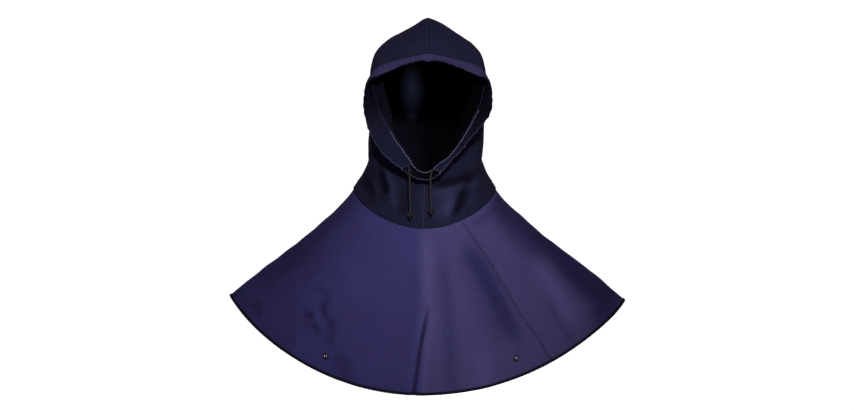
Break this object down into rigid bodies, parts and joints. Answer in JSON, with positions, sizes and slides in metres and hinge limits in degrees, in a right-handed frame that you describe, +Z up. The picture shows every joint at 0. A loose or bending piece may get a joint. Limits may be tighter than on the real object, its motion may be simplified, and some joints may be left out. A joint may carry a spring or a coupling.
{
  "type": "welding hood",
  "caption": "Woven flame-retardant welding hood with a drawcord face opening, a wide shoulder cape with a bound hem, and press studs low on the cape.",
  "frame": {"origin": "where the crown of the wearer's head meets the inside of the hood, in the middle plane, 15 mm below the outer peak of the crown seam", "axes": "+X to the viewer's right across the shoulders, +Y from the face to the back of the head, +Z up"},
  "size_m": [0.714, 0.3368, 0.6661],
  "materials": {
    "twill": "matt cotton twill",
    "tape": "matt woven tape",
    "cord": "braided cord",
    "stud": "black oxide, satin"
  },
  "bodies": {
    "root": {"hood_left": "twill", "hood_right": "twill", "face_casing": "twill", "drawcord_loop": "cord", "cord_end_left": "cord", "knot_left": "cord", "cord_end_right": "cord", "knot_right": "cord", "cape": "twill", "hem_binding": "tape", "stud_left": "stud", "stud_right": "stud"}
  },
  "joints": []
}
